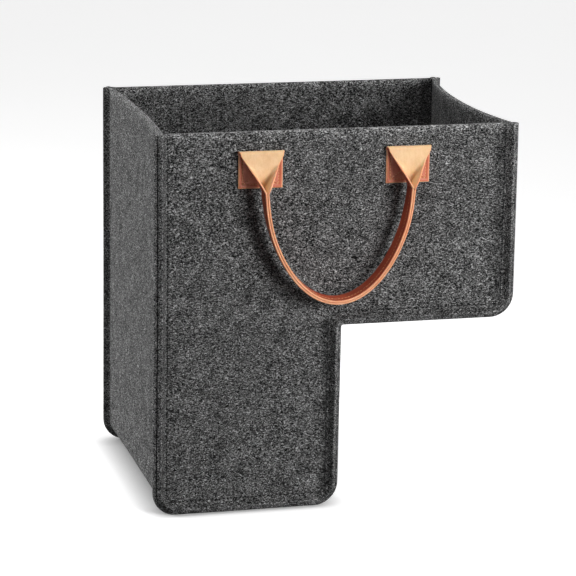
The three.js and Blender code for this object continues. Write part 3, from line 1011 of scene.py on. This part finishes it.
def leather_material(name, base, dark, light, rough, pebble, bump, with_painted_edge_shade=False):
    """Mottled leather. One for a cut edge has painted shade next to the flesh side, where two
    leaves meet, and is darker next to the grain side.
    """
    m = Nodes(name)
    at = m.coords("UV")
    cloud, grain = m.noise(at, 60.0, 3.0, 0.6), m.noise(at, 900.0, 2.0, 0.55)
    streak = m.noise(m.mapped(at, (0.35, 1, 1)), 500.0)
    value = m.weighted(m.math("MULTIPLY", cloud, 0.55), (grain, 0.25), (streak, 0.2))
    colour = m.ramp(value, [(0.32, dark), (0.5, base), (0.68, light)])
    if with_painted_edge_shade:
        colour = m.multiplied(colour, edge_tint_with_painted_shade(m, at))
    m.surface(Base_Color=colour, Roughness=m.math("MULTIPLY_ADD", grain, 0.2, rough - 0.1),
              Subsurface_Weight=0.4, Subsurface_Radius=(1.0, 0.35, 0.15), Subsurface_Scale=0.004)
    cells = m.node("TexVoronoi", {"Vector": at, "Scale": pebble}).outputs["Distance"]
    m.bump(m.math("MULTIPLY_ADD", cells, 0.5, grain), bump, 0.0003)
    return m.material


def thread_material(name, colour):
    """Twisted thread, with painted shade between its plies, where its bump is low."""
    m = Nodes(name)
    ply = m.noise(m.mapped(m.coords(), rotation=(0, 45, 20)), 2600.0, 1.0)
    dark = tuple(c * 0.6 for c in colour[:3]) + (1,)
    m.surface(Base_Color=m.ramp(ply, [(0.35, dark), (0.65, colour)]), Roughness=0.85,
              Specular_IOR_Level=0.12)
    m.bump(ply, 0.5, 0.0002)
    return m.material


felt = felt_material("felt_heather", "x")
strip_felt = felt_material("felt_heather_strip", "y")
grain = leather_material("leather_grain", srgb(184, 92, 54), srgb(162, 74, 40),
                         srgb(200, 112, 72), rough=0.48, pebble=700.0, bump=0.18)
# Painted shade: a darker copy of the tabs' grain, for the grain side of the handle strip
painted_shade_grain = leather_material("leather_grain_strap_painted_shade", srgb(162, 64, 33), srgb(140, 50, 24),
                        srgb(180, 84, 48), rough=0.45, pebble=700.0, bump=0.18)
flesh = leather_material("leather_flesh", srgb(213, 175, 132), srgb(199, 157, 112),
                         srgb(223, 191, 149), rough=0.8, pebble=1100.0, bump=0.25)
raw = leather_material("leather_cut_edge", srgb(224, 156, 114), srgb(206, 134, 92),
                       srgb(234, 178, 140), rough=0.6, pebble=900.0, bump=0.3, with_painted_edge_shade=True)
seam_dark = thread_material("thread_charcoal", srgb(14, 14, 15))
seam_tan = thread_material("thread_tan", srgb(232, 168, 122))
leathers = [flesh, grain, raw]    # in the order of FLESH, GRAIN and RAW
handle_leathers = [flesh, painted_shade_grain, raw]

# Pieces
front = panel_mesh("front_felt", False, felt)
rear = panel_mesh("back_felt", True, felt)
strip = gusset_mesh("gusset_felt", strip_felt)
for piece, node in ((front, "front_panel"), (rear, "back_panel"), (strip, "gusset")):
    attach(piece, "bin")
    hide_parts(node)

strip_length = outline(5.0, HEIGHT)[-1, 4] + math.pi * (DIAGONAL - FELT / 2)

for side, back in (("front", False), ("back", True)):
    piece = seam_thread(f"{side}_seam_thread", back, seam_dark)
    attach(piece, "bin")
    for end, sign in (("leg", -1), ("step", 1)):
        x = HANDLE_X + sign * TAB_SPACING / 2
        piece = tab_mesh(f"{side}_tab_{end}", x, back, leathers)
        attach(piece, "bin")
        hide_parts(f"{side}_tab_{end}_end")
        piece = tab_thread(f"{side}_tab_thread_{end}", x, back, seam_tan)
        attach(piece, "bin")
    outward = 1 if back else -1
    begin, end = ((HANDLE_X * MM, outward * (abs(HINGE_Y) + along * math.cos(BEND_SLOPE)) * MM,
                   (FOLD_Z - along * math.sin(BEND_SLOPE)) * MM) for along in (BEND_FROM, BEND_TO))
    piece = handle_mesh(f"{side}_handle", back, handle_leathers)
    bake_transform(piece)
    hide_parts(f"{side}_flap_leg_end", f"{side}_flap_step_end", f"{side}_strap")
    piece = strap_thread(f"{side}_strap_thread", back, seam_tan)
    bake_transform(piece)


# Studio
def stage_floor():
    """A tent of studio paper, flat under the part, rolled up far away all round and closed."""
    flat, roll, top, sides, roll_steps = 5000, 1500, 4000, 72, 12
    under = -0.15        # just below the part
    profile = [(1, 0), (600, 0), (1500, 0), (3000, 0), (flat, 0)]
    for k in range(1, roll_steps + 1):
        a = math.pi / 2 * k / roll_steps
        profile.append((flat + roll * math.sin(a), roll * (1 - math.cos(a))))
    profile.append((flat + roll, top))
    turns = [2 * math.pi * k / sides for k in range(sides)]
    build = Builder()
    build.grid([[(r * math.cos(t), r * math.sin(t), z + under) for t in turns] for r, z in profile],
               closed=True)
    build.add([(math.cos(t), math.sin(t), under) for t in turns], [tuple(range(sides))])
    m = Nodes("studio_paper")
    tone = m.noise(m.coords(), 3.0)
    painted_contact_shadow = m.node("AmbientOcclusion", {"Distance": 0.026})     # painted contact shadow where the felt stands
    # The paper's even glow, darkened near the felt by a painted contact shadow
    glow = m.math("MULTIPLY", m.math("POWER", painted_contact_shadow.outputs["AO"], 1.5), 0.7)
    m.surface(Base_Color=m.ramp(tone, [(0.3, (0.80, 0.80, 0.80, 1)), (0.7, (0.83, 0.83, 0.83, 1))]),
              Roughness=0.9, Emission_Color=(1, 1, 1, 1), Emission_Strength=glow)
    paper = build.object("studio_floor", [m.material])
    paper.visible_diffuse = False     # its glow doesn't light the part


def area_light(name, at, aim, size, size_y, power):
    """A soft light, in metres and watts, that the camera doesn't see."""
    data = bpy.data.lights.new(name, "AREA")
    data.shape = "RECTANGLE"
    data.size = size
    data.size_y = size_y
    data.energy = power
    lamp = linked(name, data)
    lamp.location = at
    lamp.rotation_euler = (Vector(aim) - Vector(at)).to_track_quat("-Z", "Y").to_euler()
    lamp.visible_camera = False


stage_floor()
area_light("key", (0.702, -1.323, 0.578), (0.0, -0.14, 0.24), 0.65, 0.65, 23.8)
area_light("left", (-1.6, 1.0, 0.28), (-0.18, 0.0, 0.2), 0.8, 0.5, 38.0)
area_light("top", (-0.08, -0.02, 1.0), (-0.04, -0.02, 0.3), 0.8, 0.2, 3.6)

world = bpy.data.worlds.new("studio_air")
scene.world = world
world.use_nodes = True
air = world.node_tree.nodes["Background"]
air.inputs["Color"].default_value = (1, 1, 1, 1)
air.inputs["Strength"].default_value = 0.13

# Camera, fitted to the photo's outline
CAMERA_AT = (-751.0201, -2801.2808, 936.4374)
AZIMUTH, ELEVATION, ROLL = (math.radians(a) for a in (-14.7049, 14.2598, 0.921))
FOCAL_PX = 2781.6928
PHOTO_PX = 576
SENSOR = 36.0
FAR_M = 20

cam_data = bpy.data.cameras.new("photo_camera")
cam = linked("photo_camera", cam_data)
scene.camera = cam
cam_data.sensor_width = SENSOR
cam_data.lens = FOCAL_PX / PHOTO_PX * SENSOR
back_axis = Vector((math.sin(AZIMUTH) * math.cos(ELEVATION),
                    -math.cos(AZIMUTH) * math.cos(ELEVATION), math.sin(ELEVATION)))
right_axis = Vector((math.cos(AZIMUTH), math.sin(AZIMUTH), 0))
up_axis = back_axis.cross(right_axis)
right_rolled = right_axis * math.cos(ROLL) + up_axis * math.sin(ROLL)
up_rolled = up_axis * math.cos(ROLL) - right_axis * math.sin(ROLL)
rotation = Matrix((right_rolled, up_rolled, back_axis)).transposed()
cam.matrix_world = Matrix.Translation(Vector(CAMERA_AT) * MM) @ rotation.to_4x4()
cam_data.clip_end = FAR_M

scene.view_settings.view_transform = "Standard"
